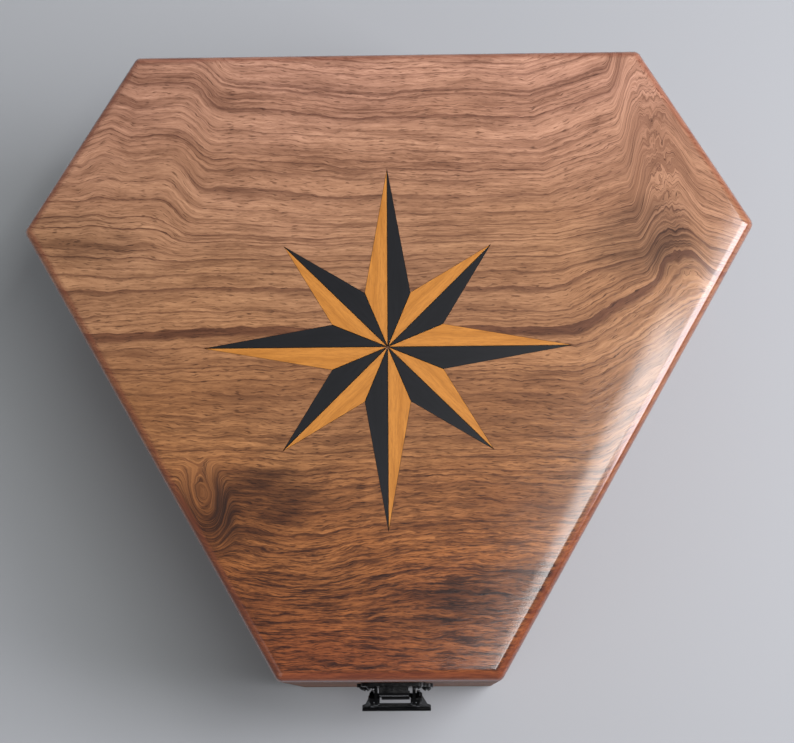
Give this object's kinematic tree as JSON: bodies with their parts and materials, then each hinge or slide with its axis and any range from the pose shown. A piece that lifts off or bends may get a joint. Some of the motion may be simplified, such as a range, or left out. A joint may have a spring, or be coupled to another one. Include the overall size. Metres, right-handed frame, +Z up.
{
  "type": "sextant box",
  "caption": "Six-sided hardwood box for a pocket sextant: hinged lid with an inlaid compass star, draw latch and velvet-lined fitted inside.",
  "frame": {"origin": "middle of the outline on the underside, half way between the back and front faces, where the box stands", "axes": "+Z up, -Y towards the latch at the short front side, +Y towards the hinges, +X to the right seen from the front"},
  "size_m": [0.1596, 0.144, 0.072],
  "materials": {
    "rosewood": "oiled and lightly lacquered, satin",
    "star_light_wood": "satin lacquer",
    "star_dark_wood": "satin lacquer",
    "hinge_brass": "brushed, slightly tarnished",
    "screw_brass": "turned",
    "latch_black": "black electroplate, semi-gloss",
    "velvet": "short-pile velvet on card"
  },
  "bodies": {
    "base": {"base_floor": "rosewood", "base_wall_back": "rosewood", "base_wall_back_left": "rosewood", "base_wall_side_left": "rosewood", "base_wall_front": "rosewood", "base_wall_side_right": "rosewood", "base_wall_back_right": "rosewood", "base_side_lining": "velvet", "base_floor_pad": "velvet", "rest_rear_left": "velvet", "rest_rear_right": "velvet", "rest_front": "velvet", "left_hinge_base_leaf": "hinge_brass", "left_hinge_pin": "hinge_brass", "right_hinge_base_leaf": "hinge_brass", "right_hinge_pin": "hinge_brass", "hinge_base_screws": "screw_brass", "latch_plate": "latch_black", "latch_lever_rivets": "latch_black", "latch_plate_screws": "latch_black"},
    "lid": {"lid_top": "rosewood", "lid_wall_back": "rosewood", "lid_wall_back_left": "rosewood", "lid_wall_side_left": "rosewood", "lid_wall_front": "rosewood", "lid_wall_side_right": "rosewood", "lid_wall_back_right": "rosewood", "star_light_halves": "star_light_wood", "star_dark_halves": "star_dark_wood", "lid_side_lining": "velvet", "lid_pad": "velvet", "left_hinge_lid_leaf": "hinge_brass", "right_hinge_lid_leaf": "hinge_brass", "hinge_lid_screws": "screw_brass", "latch_keeper": "latch_black", "keeper_screws": "latch_black"},
    "latch_lever": {"latch_lever": "latch_black", "latch_tongue_pin": "latch_black"},
    "latch_tongue": {"latch_tongue": "latch_black"}
  },
  "joints": [
    {"name": "lid_hinge", "type": "hinge", "parent": "base", "child": "lid", "pos_m": [0, 0.067, 0.048], "axis": [-1, 0, 0], "range_deg": [0, 100]},
    {"name": "latch_lever_pivot", "type": "hinge", "parent": "base", "child": "latch_lever", "pos_m": [0.0005, -0.0724, 0.0425], "axis": [-1, 0, 0], "range_deg": [0, 105]},
    {"name": "latch_tongue_pivot", "type": "hinge", "parent": "latch_lever", "child": "latch_tongue", "pos_m": [0.0005, -0.0715, 0.037], "axis": [1, 0, 0], "range_deg": [0, 126]}
  ],
  "couplings": [
    {"joint": "latch_tongue_pivot", "follows": "latch_lever_pivot", "ratio": 1.2}
  ]
}
